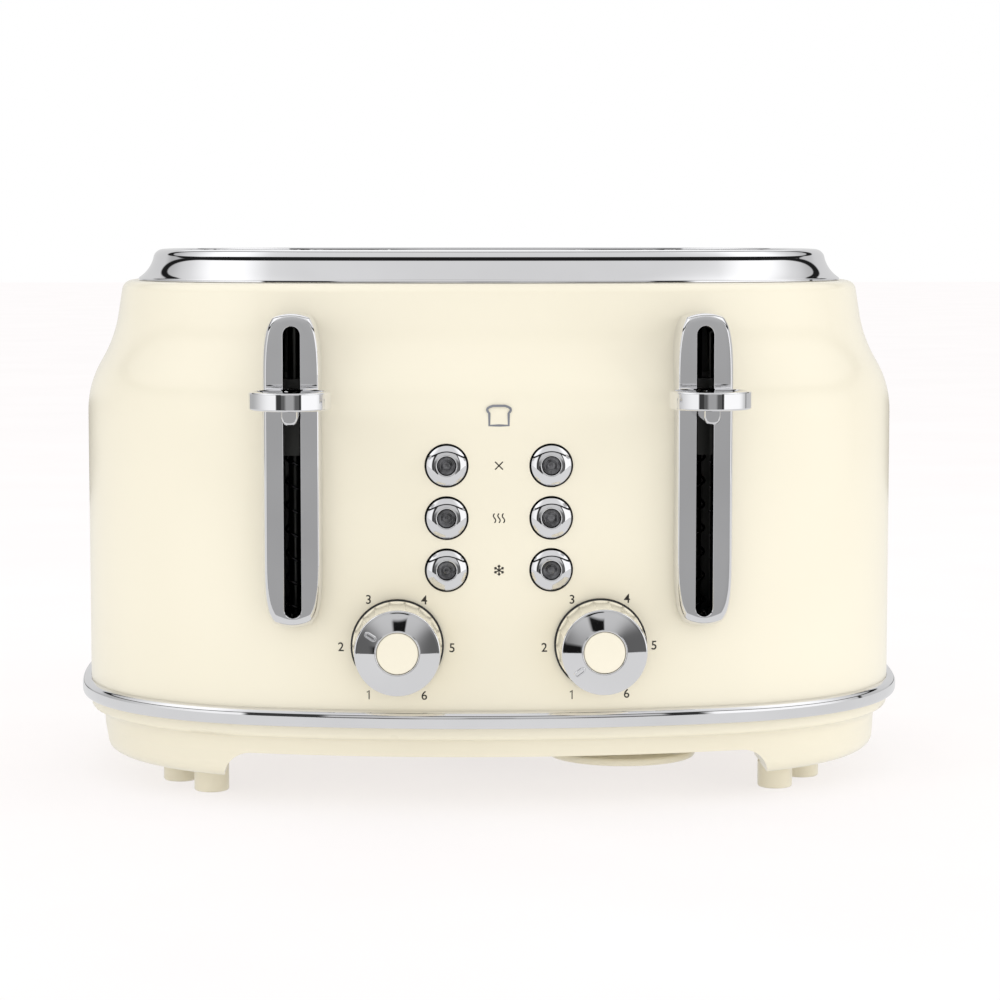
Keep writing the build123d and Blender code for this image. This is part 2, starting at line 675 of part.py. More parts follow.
def timer_pot():
    """Rotary control on the board that sets the browning time."""
    pot = rod_y(KNOB_X, KNOB_Z, POT_FRONT + 1.6, POT_FRONT + 10, 8.0)
    pot += rod_y(KNOB_X, KNOB_Z, POT_FRONT - 8, POT_FRONT + 1.6, 4.4)
    return pot - rod_y(KNOB_X, KNOB_Z, POT_FRONT - 9, POT_FRONT + 4, 3.0 + RUNNING)


def control_board():
    """Circuit board behind the buttons, with switches, relays and a transformer."""
    board = block(-51, 51, POT_FRONT, POT_FRONT + 1.6, 50, 148)
    for x in (-KNOB_X, KNOB_X):
        board -= rod_y(x, KNOB_Z, POT_FRONT - 1, POT_FRONT + 3, 4.4)
    for x in (-BUTTON_X, BUTTON_X):
        for z in BUTTON_ROWS.values():
            board += block(x - 3, x + 3, POT_FRONT - 3.2, POT_FRONT, z - 3, z + 3)
    for x, z, w, h, d in ((-18, 72, 20, 16, 15), (18, 72, 20, 16, 15), (0, 122, 30, 26, 18)):
        board += block(x - w / 2, x + w / 2, POT_FRONT + 1.6, POT_FRONT + 1.6 + d, z - h / 2, z + h / 2)
    for sign in (-1, 1):
        board += rod_y(sign * 30, 128, POT_FRONT + 1.6, POT_FRONT + 14, 5.0)
    foot = block(-40, 40, POT_FRONT, POT_FRONT + 1.6, CHASSIS_Z + CHASSIS_THICK, 50)
    return board + foot


def terminal_block():
    """Mains terminal on the chassis, just inside the gland."""
    bottom = CHASSIS_Z + CHASSIS_THICK
    body = block(-16, 16, 92, 106, bottom, 46)
    for x in (-10, 0, 10):
        body += block(x - 3.8, x + 3.8, 92, 100, 46, 50)
        body -= rod_z(x, 96, 47, 52, 1.8)
    return body


def main():
    os.makedirs("parts", exist_ok=True)
    body = fat_shell()
    write("body_shell", body_shell())
    write("back_panel", back_panel())
    write("top_frame", top_frame())
    write("top_plate", top_plate())
    write("base_band", base_band())
    write("base_tray", base_tray())
    write("feet", feet())
    write("cord_wrap", cord_wrap())
    write("case_screws", case_screws())
    write("cord_gland", cord_gland())
    write("chassis_plate", chassis_plate())
    write("heater_boards", heater_boards())
    write("carriage_rods", carriage_rods())
    write("latch_magnets", latch_magnets())
    write("button_housing", button_housing())
    write("control_board", control_board())
    write("terminal_block", terminal_block())
    handed = {
        "oven_frame": oven_frame(),
        "crumb_tray": crumb_tray(),
        "carriage_plate": carriage_plate(),
        "keeper_plate": keeper_plate(),
        "bread_rests": bread_rests(),
        "return_spring": return_spring(),
        "lever_guide": lever_guide(body),
        "lever_knob": lever_knob(),
        "knob_shaft": knob_shaft(),
        "timer_pot": timer_pot(),
    }
    for side in SIDES:
        for name, shape in handed.items():
            write(f"{name}_{side}", mirrored(shape, side))
        write(f"heating_wires_{side}", heating_wires(side))
        write(f"bread_guards_{side}_a", bread_guards(side, 1))
        write(f"bread_guards_{side}_b", bread_guards(side, -1))
        angle = POINTER_ANGLE[side] * SIDES[side]
        bar = pointer_bar(angle, KNOB_FACE_Y + 0.5, KNOB_FACE_Y + 3.0)
        write(f"knob_body_{side}", mirrored(knob_body() + bar, side))
        write(f"knob_ring_{side}", mirrored(knob_ring(angle), side))
        for label, z in BUTTON_ROWS.items():
            x = SIDES[side] * BUTTON_X
            write(f"button_cap_{label}_{side}", button_cap(x, z))
            write(f"button_lens_{label}_{side}", button_lens(x, z))


main()
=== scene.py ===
import json
from math import atan2, cos, degrees, hypot, pi, radians, sin, sqrt

import bmesh
import bpy
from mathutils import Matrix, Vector


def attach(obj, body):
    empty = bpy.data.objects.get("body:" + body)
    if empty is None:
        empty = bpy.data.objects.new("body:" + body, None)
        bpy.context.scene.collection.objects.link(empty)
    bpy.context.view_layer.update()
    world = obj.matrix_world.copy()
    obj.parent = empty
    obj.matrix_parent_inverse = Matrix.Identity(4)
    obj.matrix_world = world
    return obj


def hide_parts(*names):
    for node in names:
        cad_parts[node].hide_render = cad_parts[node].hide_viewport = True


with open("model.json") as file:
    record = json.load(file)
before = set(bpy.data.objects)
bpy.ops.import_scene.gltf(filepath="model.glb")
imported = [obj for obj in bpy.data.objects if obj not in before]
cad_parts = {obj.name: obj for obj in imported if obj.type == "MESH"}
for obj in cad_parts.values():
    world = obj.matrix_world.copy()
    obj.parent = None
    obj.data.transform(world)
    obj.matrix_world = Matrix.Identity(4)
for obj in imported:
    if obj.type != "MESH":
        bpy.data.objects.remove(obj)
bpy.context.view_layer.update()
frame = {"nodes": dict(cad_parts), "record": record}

# Sizes are in millimetres in the body's own plan frame, as the design gives them; place() turns them into
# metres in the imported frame, whose origin is under the middle of the overall footprint.
MM = 0.001
SHIFT_Y = 15.45
BODY_WIDTH = 335.0
BODY_DEPTH = 273.8
FRONT_RADIUS = 366.7
SIDE_RADIUS = 377.4
CORNER_RADIUS = 96.8
BASE_TOP = 32.8
BAND_TOP = 40.0
SHELL_BOTTOM = 39.2
SHOULDER_START = 150.0
SKIN = 1.2
BACK_PANEL_HALF_WIDTH = 100.0
BACK_PANEL_TOP = 142.0
GLAND_Z = 56.0
GLAND_RADIUS = 6.0
UNIT_X = 78.8
GUIDE_FACE_Y = -137.0
GUIDE_LOW = 71.8
GUIDE_HIGH = 192.6
GUIDE_HALF_WIDTH = 11.4
GUIDE_FACE_HALF_WIDTH = 9.6
SLOT_LOW = 76.3
SLOT_HIGH = 187.2
SLOT_HALF_WIDTH = 2.95
KNOB_X = 39.0
KNOB_Z = 65.5
KNOB_BACK_Y = -137.0
KNOB_FACE_Y = -160.6
SKIRT_RADIUS = 17.1
SHAFT_HOLE_RADIUS = 4.0
POINTER_ANGLE = {"left": -57.4, "right": -128.5}
BUTTON_X = 20.0
BUTTON_ROWS = {"cancel": 134.4, "reheat": 114.3, "defrost": 94.3}
BUTTON_FACE_Y = -139.0
BUTTON_HOLE_RADIUS = 8.42
LEVER_Z = 160.45
LEVER_DISC_Y = -156.0
LEVER_DISC_RADIUS = 15.5
SIDES = {"left": -1, "right": 1}
HOUSING = "housing"
CAMERA_AT = (-40.65, -1272.94, 223.31)
CAMERA_AIM = (5.325, 0, 108.965)
PLAN_STEP = 2.0


def place(x, y, z):
    return Vector((x * MM, (y + SHIFT_Y) * MM, z * MM))


# ---------------------------------------------------------------- materials


def new_material(name):
    material = bpy.data.materials.new(name)
    material.use_nodes = True
    tree = material.node_tree
    shader = tree.nodes["Principled BSDF"]
    return material, tree, shader


def noise_node(tree, scale, detail=3.0, stretch=None):
    """Object-space noise, in cycles per metre, optionally stretched."""
    coordinates = tree.nodes.new("ShaderNodeTexCoord")
    noise = tree.nodes.new("ShaderNodeTexNoise")
    noise.inputs["Scale"].default_value = scale
    noise.inputs["Detail"].default_value = detail
    if stretch:
        mapping = tree.nodes.new("ShaderNodeMapping")
        mapping.inputs["Scale"].default_value = stretch
        tree.links.new(coordinates.outputs["Object"], mapping.inputs["Vector"])
        tree.links.new(mapping.outputs["Vector"], noise.inputs["Vector"])
    else:
        tree.links.new(coordinates.outputs["Object"], noise.inputs["Vector"])
    return noise


def ramp_node(tree, source, low, high, start=0.3, end=0.7):
    """Maps a noise value to a range of greys or colours."""
    ramp = tree.nodes.new("ShaderNodeValToRGB")
    ramp.color_ramp.elements[0].position = start
    ramp.color_ramp.elements[1].position = end
    ramp.color_ramp.elements[0].color = (*low, 1) if isinstance(low, tuple) else (low, low, low, 1)
    ramp.color_ramp.elements[1].color = (*high, 1) if isinstance(high, tuple) else (high, high, high, 1)
    tree.links.new(source.outputs["Fac"], ramp.inputs["Fac"])
    return ramp


def add_bump(tree, shader, source, strength, distance):
    bump = tree.nodes.new("ShaderNodeBump")
    bump.inputs["Strength"].default_value = strength
    bump.inputs["Distance"].default_value = distance
    tree.links.new(source.outputs["Fac"], bump.inputs["Height"])
    tree.links.new(bump.outputs["Normal"], shader.inputs["Normal"])
    return bump


def painted(name, low, high, roughness, coat, peel):
    """Enamel or moulded plastic: a little colour drift, uneven gloss and a fine orange peel."""
    material, tree, shader = new_material(name)
    drift = noise_node(tree, 9.0, 2.0)
    colour = ramp_node(tree, drift, low, high)
    tree.links.new(colour.outputs["Color"], shader.inputs["Base Color"])
    gloss = noise_node(tree, 30.0, 3.0)
    rough = ramp_node(tree, gloss, roughness * 0.9, roughness * 1.1)
    tree.links.new(rough.outputs["Color"], shader.inputs["Roughness"])
    shader.inputs["Coat Weight"].default_value = coat
    shader.inputs["Coat Roughness"].default_value = 0.14
    skin = noise_node(tree, 380.0, 1.0)
    add_bump(tree, shader, skin, peel, 0.00005)
    return material


def metal(name, tint, low_rough, high_rough, grain, stretch, bump):
    """Bare or plated metal: tint drift, smudged roughness and a grain direction."""
    material, tree, shader = new_material(name)
    shader.inputs["Metallic"].default_value = 1.0
    drift = noise_node(tree, 25.0, 3.0)
    darker = tuple(c * 0.93 for c in tint)
    colour = ramp_node(tree, drift, darker, tint)
    tree.links.new(colour.outputs["Color"], shader.inputs["Base Color"])
    smudge = noise_node(tree, 45.0, 6.0)
    rough = ramp_node(tree, smudge, low_rough, high_rough)
    tree.links.new(rough.outputs["Color"], shader.inputs["Roughness"])
    if bump:
        lines = noise_node(tree, grain, 4.0, stretch)
        add_bump(tree, shader, lines, bump, 0.0001)
    return material


def plain_plastic(name, low, high, roughness):
    material, tree, shader = new_material(name)
    drift = noise_node(tree, 120.0, 4.0)
    colour = ramp_node(tree, drift, low, high)
    tree.links.new(colour.outputs["Color"], shader.inputs["Base Color"])
    shader.inputs["Roughness"].default_value = roughness
    grain = noise_node(tree, 1500.0, 2.0)
    add_bump(tree, shader, grain, 0.25, 0.0002)
    return material


def smoked_lens_material():
    """Dark clear plastic with a faint moulded depth."""
    material, tree, shader = new_material("smoked_lens")
    depth = noise_node(tree, 420.0, 3.0)
    colour = ramp_node(tree, depth, (0.012, 0.012, 0.014), (0.13, 0.13, 0.14), 0.35, 0.75)
    tree.links.new(colour.outputs["Color"], shader.inputs["Base Color"])
    shader.inputs["Roughness"].default_value = 0.12
    shader.inputs["Coat Weight"].default_value = 1.0
    shader.inputs["Coat Roughness"].default_value = 0.02
    add_bump(tree, shader, noise_node(tree, 700.0, 2.0), 0.4, 0.0003)
    return material


def mica_material():
    material, tree, shader = new_material("mica")
    flakes = tree.nodes.new("ShaderNodeTexVoronoi")
    flakes.inputs["Scale"].default_value = 260.0
    coordinates = tree.nodes.new("ShaderNodeTexCoord")
    tree.links.new(coordinates.outputs["Object"], flakes.inputs["Vector"])
    ramp = tree.nodes.new("ShaderNodeValToRGB")
    ramp.color_ramp.elements[0].color = (0.62, 0.52, 0.36, 1)
    ramp.color_ramp.elements[1].color = (0.80, 0.73, 0.58, 1)
    tree.links.new(flakes.outputs["Distance"], ramp.inputs["Fac"])
    tree.links.new(ramp.outputs["Color"], shader.inputs["Base Color"])
    shader.inputs["Roughness"].default_value = 0.55
    return material


CREAM_LOW = (0.83, 0.775, 0.625)
CREAM_HIGH = (0.87, 0.815, 0.665)
MATERIALS = {
    "cream_enamel": painted("cream_enamel", CREAM_LOW, CREAM_HIGH, 0.34, 0.45, 0.05),
    "cream_plastic": painted("cream_plastic", (0.80, 0.745, 0.60), (0.845, 0.79, 0.64), 0.30, 0.35, 0.10),
    "cream_knob": painted("cream_knob", (0.83, 0.775, 0.63), (0.87, 0.815, 0.67), 0.25, 0.6, 0.05),
    "chrome_trim": metal("chrome_trim", (0.83, 0.83, 0.845), 0.015, 0.035, 300.0, (1, 1, 1), 0.0),
    "steel_panel": metal("steel_panel", (0.70, 0.70, 0.71), 0.22, 0.34, 500.0, (0.04, 3.0, 3.0), 0.35),
    "plated_steel": metal("plated_steel", (0.10, 0.10, 0.095), 0.28, 0.45, 400.0, (1, 1, 0.05), 0.2),
    "tray_steel": metal("tray_steel", (0.58, 0.58, 0.59), 0.30, 0.45, 400.0, (1, 0.05, 1), 0.25),
    "guard_wire": metal("guard_wire", (0.66, 0.66, 0.67), 0.12, 0.25, 400.0, (1, 1, 1), 0.1),
    "heating_ribbon": metal("heating_ribbon", (0.34, 0.32, 0.30), 0.35, 0.55, 600.0, (1, 0.05, 1), 0.3),
    "soft_iron": metal("soft_iron", (0.42, 0.42, 0.43), 0.35, 0.5, 500.0, (1, 1, 1), 0.3),
    "spring_steel": metal("spring_steel", (0.12, 0.12, 0.125), 0.2, 0.32, 500.0, (1, 1, 1), 0.1),
    "screw_steel": metal("screw_steel", (0.58, 0.58, 0.59), 0.2, 0.35, 500.0, (1, 1, 1), 0.2),
    "black_plastic": plain_plastic("black_plastic", (0.012, 0.012, 0.013), (0.03, 0.03, 0.032), 0.45),
    "circuit_board": plain_plastic("circuit_board", (0.02, 0.10, 0.04), (0.03, 0.16, 0.06), 0.4),
    "mica": mica_material(),
    "smoked_lens": smoked_lens_material(),
}
ink = plain_plastic("printed_ink", (0.016, 0.013, 0.008), (0.028, 0.022, 0.015), 0.5)
grey_ink = plain_plastic("grey_ink", (0.17, 0.18, 0.21), (0.21, 0.22, 0.25), 0.5)


# ---------------------------------------------------------------- plan outline


def corner_centre():
    front_y = FRONT_RADIUS - BODY_DEPTH / 2
    side_x = BODY_WIDTH / 2 - SIDE_RADIUS
    from_front = FRONT_RADIUS - CORNER_RADIUS
    from_side = SIDE_RADIUS - CORNER_RADIUS
    gap = hypot(side_x, front_y)
    along = (from_front**2 - from_side**2 + gap**2) / (2 * gap)
    across = sqrt(from_front**2 - along**2)
    ux = side_x / gap
    uy = -front_y / gap
    return ux * along - uy * across, front_y + uy * along + ux * across


def plan_samples(step):
    """Arc centre, radius and direction of points all round the plan, about a step apart."""
    cx, cy = corner_centre()
    front_y = FRONT_RADIUS - BODY_DEPTH / 2
    side_x = BODY_WIDTH / 2 - SIDE_RADIUS
    start = atan2(cy - front_y, cx)
    end = atan2(cy, cx - side_x)
    arcs = [
        ((0, front_y), FRONT_RADIUS, -pi - start, start),
        ((cx, cy), CORNER_RADIUS, start, end),
        ((side_x, 0), SIDE_RADIUS, end, -end),
        ((cx, -cy), CORNER_RADIUS, -end, -start),
        ((0, -front_y), FRONT_RADIUS, -start, pi + start),
        ((-cx, -cy), CORNER_RADIUS, pi + start, pi + end),
        ((-side_x, 0), SIDE_RADIUS, pi + end, pi - end),
        ((-cx, cy), CORNER_RADIUS, pi - end, pi - start),
    ]
    samples = []
    for centre, radius, first, last in arcs:
        count = max(2, round(radius * abs(last - first) / step))
        for k in range(count):
            angle = first + (last - first) * k / count
            samples.append((centre, radius, angle))
    return samples


def front_surface(x):
    """Depth of the body's front at x, on the stretch where it is upright."""
    return FRONT_RADIUS - BODY_DEPTH / 2 - sqrt(FRONT_RADIUS**2 - x**2)


# ---------------------------------------------------------------- mesh building


def finish_mesh(name, vertices, faces, material, body, replaced=(), sharp=32.0):
    """Makes the object, shades it smooth with sharp corners, and joins it to its body."""
    mesh = bpy.data.meshes.new(name)
    mesh.from_pydata([place(*v) for v in vertices], [], faces)
    mesh.validate()
    shape = bmesh.new()
    shape.from_mesh(mesh)
    bmesh.ops.remove_doubles(shape, verts=shape.verts, dist=1e-7)
    bmesh.ops.recalc_face_normals(shape, faces=shape.faces)
    shape.to_mesh(mesh)
    shape.free()
    mesh.shade_smooth()
    mesh.set_sharp_from_angle(angle=radians(sharp))
    piece = bpy.data.objects.new(name, mesh)
    bpy.context.scene.collection.objects.link(piece)
    mesh.materials.append(material)
    if body:
        even_normals(piece)
        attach(piece, body)
    if replaced:
        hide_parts(*replaced)
    return piece


def even_normals(piece):
    """Keeps flats flat beside their fillets."""
    modifier = piece.modifiers.new("even_normals", "WEIGHTED_NORMAL")
    modifier.keep_sharp = True


def bridge(rings, closed_profile=False):
    """Quads between successive closed rings of equal length."""
    count = len(rings[0])
    vertices = [v for ring in rings for v in ring]
    faces = []
    last = len(rings) if closed_profile else len(rings) - 1
    for r in range(last):
        a = r * count
        b = (r + 1) % len(rings) * count
        for k in range(count):
            n = (k + 1) % count
            faces.append((a + k, a + n, b + n, b + k))
    return vertices, faces


def ring_solid(profile, step):
    """A closed section of (inset, height) points carried round the plan."""
    samples = plan_samples(step)
    rings = []
    for inset, z in profile:
        ring = []
        for centre, radius, angle in samples:
            reach = radius - inset
            ring.append((centre[0] + reach * cos(angle), centre[1] + reach * sin(angle), z))
        rings.append(ring)
    return bridge(rings, closed_profile=True)


def arc_points(centre, radius, first, last, count):
    """Points of an arc between two directions in degrees, both ends included."""
    points = []
    for k in range(count + 1):
        angle = radians(first + (last - first) * k / count)
        points.append((centre[0] + radius * cos(angle), centre[1] + radius * sin(angle)))
    return points


def circle_points(x, z, y, radius, count):
    """Points of an upright circle that faces front."""
    turns = [2 * pi * k / count for k in range(count)]
    return [(x + radius * cos(turn), y, z + radius * sin(turn)) for turn in turns]


def line_points(first, last, count):
    """Points from first up to but not including last."""
    return [
        (first[0] + (last[0] - first[0]) * k / count, first[1] + (last[1] - first[1]) * k / count)
        for k in range(count)
    ]


def lathe(name, profile, centre, axis, material, body, replaced=(), count=96, sharp=32.0):
    """Turns a closed (radius, along) section about an axis through centre: 'y' or 'z'."""
    rings = []
    for radius, along in profile:
        ring = []
        for k in range(count):
            angle = 2 * pi * k / count
            a = radius * cos(angle)
            b = radius * sin(angle)
            if axis == "y":
                ring.append((centre[0] + a, centre[1] + along, centre[2] + b))
            else:
                ring.append((centre[0] + a, centre[1] + b, centre[2] + along))
        rings.append(ring)
    vertices, faces = bridge(rings, closed_profile=False)
    return finish_mesh(name, vertices, faces, material, body, replaced, sharp)


def cut(piece, cutters):
    """Subtracts the cutters for good and drops them."""
    for cutter in cutters:
        modifier = piece.modifiers.new("cut", "BOOLEAN")
        modifier.operation = "DIFFERENCE"
        modifier.solver = "EXACT"
        modifier.object = cutter
    bpy.context.view_layer.update()
    graph = bpy.context.evaluated_depsgraph_get()
    mesh = bpy.data.meshes.new_from_object(piece.evaluated_get(graph))
    piece.modifiers.clear()
    old = piece.data
    piece.data = mesh
    bpy.data.meshes.remove(old)
    mesh.shade_smooth()
    mesh.set_sharp_from_angle(angle=radians(32))
    even_normals(piece)
    for cutter in cutters:
        bpy.data.objects.remove(cutter)


def cutter_cylinder(x, z, y0, y1, radius, count=96):
    rings = [circle_points(x, z, y, radius, count) for y in (y0, y1)]
    vertices, faces = bridge(rings)
    faces.append(tuple(range(count)))
    faces.append(tuple(range(count, 2 * count)))
    return finish_mesh("cutter", vertices, faces, ink, None)


def cutter_box(x0, x1, y0, y1, z0, z1):
    corners = [(x, y, z) for z in (z0, z1) for x, y in ((x0, y0), (x1, y0), (x1, y1), (x0, y1))]
    faces = [(0, 1, 2, 3), (4, 5, 6, 7), (0, 1, 5, 4), (1, 2, 6, 5), (2, 3, 7, 6), (3, 0, 4, 7)]
    return finish_mesh("cutter", corners, faces, ink, None)


# ---------------------------------------------------------------- camera and light


def add_camera():
    """Stands where the front is seen from a little left of centre and slightly above."""
    data = bpy.data.cameras.new("camera")
    data.lens = 107.67
    data.sensor_width = 36.0
    data.clip_end = 50
    camera = bpy.data.objects.new("camera", data)
    bpy.context.scene.collection.objects.link(camera)
    camera.location = place(*CAMERA_AT)
    aim = place(*CAMERA_AIM)
    camera.rotation_euler = (aim - camera.location).to_track_quat("-Z", "Y").to_euler()
    bpy.context.scene.camera = camera


def only_reflections_see(piece):
    piece.visible_camera = False
    piece.visible_diffuse = False
    piece.visible_shadow = False
    piece.visible_transmission = False


def glow_material(name, source=None, grey=1.0):
    """Even glow of one grey, or the glow held in the mesh's own colours."""
    material = bpy.data.materials.new(name)
    material.use_nodes = True
    tree = material.node_tree
    tree.nodes.remove(tree.nodes["Principled BSDF"])
    emission = tree.nodes.new("ShaderNodeEmission")
    emission.inputs["Color"].default_value = (grey, grey, grey, 1)
    if source:
        colours = tree.nodes.new("ShaderNodeVertexColor")
        colours.layer_name = source
        tree.links.new(colours.outputs["Color"], emission.inputs["Color"])
    tree.links.new(emission.outputs[0], tree.nodes["Material Output"].inputs["Surface"])
    return material


def smooth(low, high, value):
    t = min(max((value - low) / (high - low), 0.0), 1.0)
    return t * t * (3 - 2 * t)


def between(low, high, value, edge):
    return smooth(low - edge, low + edge, value) * (1 - smooth(high - edge, high + edge, value))


def mix(a, b, share):
    return a + (b - a) * share


def studio_grey(turn, tilt):
    """Brightness of the studio as mirrored by a surface turned to the left and tilted up, in degrees.

    In front is a grey room, with tall soft boxes on both sides and a framed soft panel overhead.
    """
    room = mix(0.42, 0.66, smooth(1, 7, tilt))
    room = mix(room, room * 0.32, smooth(4, 8, abs(turn)) * (1 - smooth(2.5, 7, tilt)))
    room = mix(room, 0.01, between(4.6, 7.6, turn, 0.3) * (1 - smooth(0.1, 0.6, tilt)))
    room = mix(room, 0.01, between(-1.9, 1.6, turn, 0.15) * between(4.6, 6.55, tilt, 0.12))
    left = mix(1.1, 0.50, smooth(25, 62, turn))
    left = mix(left, 0.14, smooth(68, 75, turn))
    right = mix(1.2, 0.62, smooth(38, 54, -turn))
    right = mix(right, 0.05, between(52.5, 54.0, -turn, 0.4))
    right = mix(right, 0.16, smooth(69, 75, -turn))
    low = mix(room, 0.05, smooth(10.8, 11.8, turn))
    low = mix(low, left, smooth(17.5, 19.5, turn))
    low = mix(low, 0.04, smooth(12.2, 12.9, -turn))
    low = mix(low, right, smooth(15.0, 16.2, -turn))
    panel_half_turn = 61.0
    panel_middle = 37.5
    panel_half_tilt = 18.0
    across = max(abs(turn) - (panel_half_turn - panel_half_tilt), 0.0)
    distance = hypot(across, tilt - panel_middle) - panel_half_tilt
    panel = mix(0.80, 1.3, between(22, 44, abs(turn), 8.0))
    panel = mix(panel, 0.55, smooth(50, 60, abs(turn)))
    beyond = mix(low, 1.15, smooth(52, 57, tilt))
    beyond = mix(beyond, 0.72, smooth(60, 66, abs(turn)) * smooth(8, 14, tilt))
    frame_width = 4.6
    value = mix(panel, 0.015, smooth(-0.5, 0.4, distance))
    return mix(value, beyond, smooth(frame_width - 0.6, frame_width + 0.6, distance))


def add_reflection_dome():
    """Sphere round the set, seen by reflections alone, shaded as the studio above."""
    rows, columns, radius = 240, 480, 4.0
    middle = Vector((0, 0, 0.12))
    # Close to the camera's line of sight: studio_grey() is laid out for a viewer in front.
    sight = Vector((CAMERA_AIM[0], -CAMERA_AT[1], CAMERA_AIM[2] - CAMERA_AT[2])).normalized()
    vertices = []
    greys = []
    for r in range(rows + 1):
        lift = pi * r / rows - pi / 2
        for c in range(columns):
            swing = 2 * pi * c / columns
            ray = Vector((cos(lift) * cos(swing), cos(lift) * sin(swing), sin(lift)))
            facing = ray - sight
            facing = facing.normalized() if facing.length > 1e-4 else Vector((1, 0, 0))
            turn = degrees(atan2(-facing.x, -facing.y))
            tilt = degrees(atan2(facing.z, hypot(facing.x, facing.y)))
            vertices.append(middle + ray * radius)
            greys.append(studio_grey(turn, tilt))
    faces = []
    for r in range(rows):
        for c in range(columns):
            n = (c + 1) % columns
            faces.append((r * columns + c, r * columns + n, (r + 1) * columns + n, (r + 1) * columns + c))
    mesh = bpy.data.meshes.new("studio_dome")
    mesh.from_pydata(vertices, [], faces)
    colours = mesh.color_attributes.new("studio", "FLOAT_COLOR", "POINT")
    colours.data.foreach_set("color", [v for grey in greys for v in (grey, grey, grey, 1.0)])
    mesh.materials.append(glow_material("studio_dome", source="studio"))
    dome = bpy.data.objects.new("studio_dome", mesh)
    bpy.context.scene.collection.objects.link(dome)
    only_reflections_see(dome)


def flat_mesh(name, x, y, z, material):
    mesh = bpy.data.meshes.new(name)
    mesh.from_pydata([(x[0], y[0], z), (x[1], y[0], z), (x[1], y[1], z), (x[0], y[1], z)], [], [(0, 1, 2, 3)])
    mesh.materials.append(material)
    piece = bpy.data.objects.new(name, mesh)
    bpy.context.scene.collection.objects.link(piece)
    return piece


def add_light(name, location, aim, size, power):
    """Soft panel for the shading only: the dome stands for it in reflections."""
    data = bpy.data.lights.new(name, "AREA")
    data.shape = "RECTANGLE"
    data.size, data.size_y = size
    data.energy = power
    light = bpy.data.objects.new(name, data)
    bpy.context.scene.collection.objects.link(light)
    light.location = location
    light.rotation_euler = (Vector(aim) - light.location).to_track_quat("-Z", "Y").to_euler()
    light.visible_glossy = False
    return light


def add_floor():
    """Pale floor in two layers: a lit one for the eye with a faint shadow, and one for bounced light."""
    material, tree, shader = new_material("floor_seen")
    mottling = ramp_node(tree, noise_node(tree, 6.0), 0.27, 0.29)
    tree.links.new(mottling.outputs["Color"], shader.inputs["Base Color"])
    shader.inputs["Roughness"].default_value = 0.9
    shader.inputs["Specular IOR Level"].default_value = 0.0
    shader.inputs["Emission Color"].default_value = (0.715, 0.69, 0.69, 1)
    shader.inputs["Emission Strength"].default_value = 1.0
    seen = flat_mesh("floor_seen", (-12, 12), (-12, 12), 0.0, material)
    seen.visible_diffuse = False
    seen.visible_glossy = False
    seen.visible_shadow = False
    material, tree, shader = new_material("floor_bounce")
    mottling = ramp_node(tree, noise_node(tree, 6.0), 0.78, 0.82)
    tree.links.new(mottling.outputs["Color"], shader.inputs["Base Color"])
    shader.inputs["Roughness"].default_value = 0.9
    shader.inputs["Emission Color"].default_value = (1.0, 0.98, 0.95, 1)
    shader.inputs["Emission Strength"].default_value = 0.22
    bounce = flat_mesh("floor_bounce", (-12, 12), (-12, 12), -0.0005, material)
    bounce.visible_camera = False
    bounce.visible_glossy = False
    only_reflections_see(flat_mesh("table_top", (-1.6, 1.6), (-0.585, 1.2), 0.0005,
                                   glow_material("table_top", grey=0.80)))


def add_stage():
    """White surroundings, soft light from above and both sides, and what the chrome reflects."""
    world = bpy.data.worlds.new("surroundings")
    world.use_nodes = True
    world.node_tree.nodes["Background"].inputs["Color"].default_value = (1, 1, 1, 1)
    world.node_tree.nodes["Background"].inputs["Strength"].default_value = 1.0
    bpy.context.scene.world = world
    add_light("overhead", (0, -0.2, 1.9), (0, 0, 0), (1.8, 1.2), 2.05)
    add_light("left_soft", (-1.7, -1.1, 0.9), (0, 0, 0.1), (0.9, 1.3), 3.0)
    add_light("right_soft", (1.9, -0.7, 0.8), (0, 0, 0.1), (0.7, 1.3), 5.6)
    add_light("front_fill", (0.0, -2.2, 0.3), (0, 0, 0.05), (2.2, 0.5), 1.4)
    add_floor()
    add_reflection_dome()
    bpy.context.scene.view_settings.view_transform = "Standard"


# ---------------------------------------------------------------- casing


def shoulder_profile(depth):
    """(inset, height) points of the body's line, bottom to top, offset inwards by depth."""
    slope = 29.5
    r1 = 39.6
    points = line_points((depth, SHELL_BOTTOM), (depth, SHOULDER_START), 28)
    points += arc_points((r1, SHOULDER_START), r1 - depth, 180, 180 - slope, 12)
    x, z = r1 - r1 * cos(radians(slope)), SHOULDER_START + r1 * sin(radians(slope))
    x, z = x + 2.87 * sin(radians(slope)), z + 2.87 * cos(radians(slope))
    r2 = 53.6
    centre = (x - r2 * cos(radians(slope)), z + r2 * sin(radians(slope)))
    points += arc_points(centre, r2 + depth, -slope, -9.0, 12)
    x, z = centre[0] + r2 * cos(radians(9)), centre[1] - r2 * sin(radians(9))
    x, z = x + 9.9 * sin(radians(9)), z + 9.9 * cos(radians(9))
    r3 = 4.2
    centre = (x + r3 * cos(radians(9)), z - r3 * sin(radians(9)))
    points += arc_points(centre, r3 - depth, 171, 90, 12)
    return points


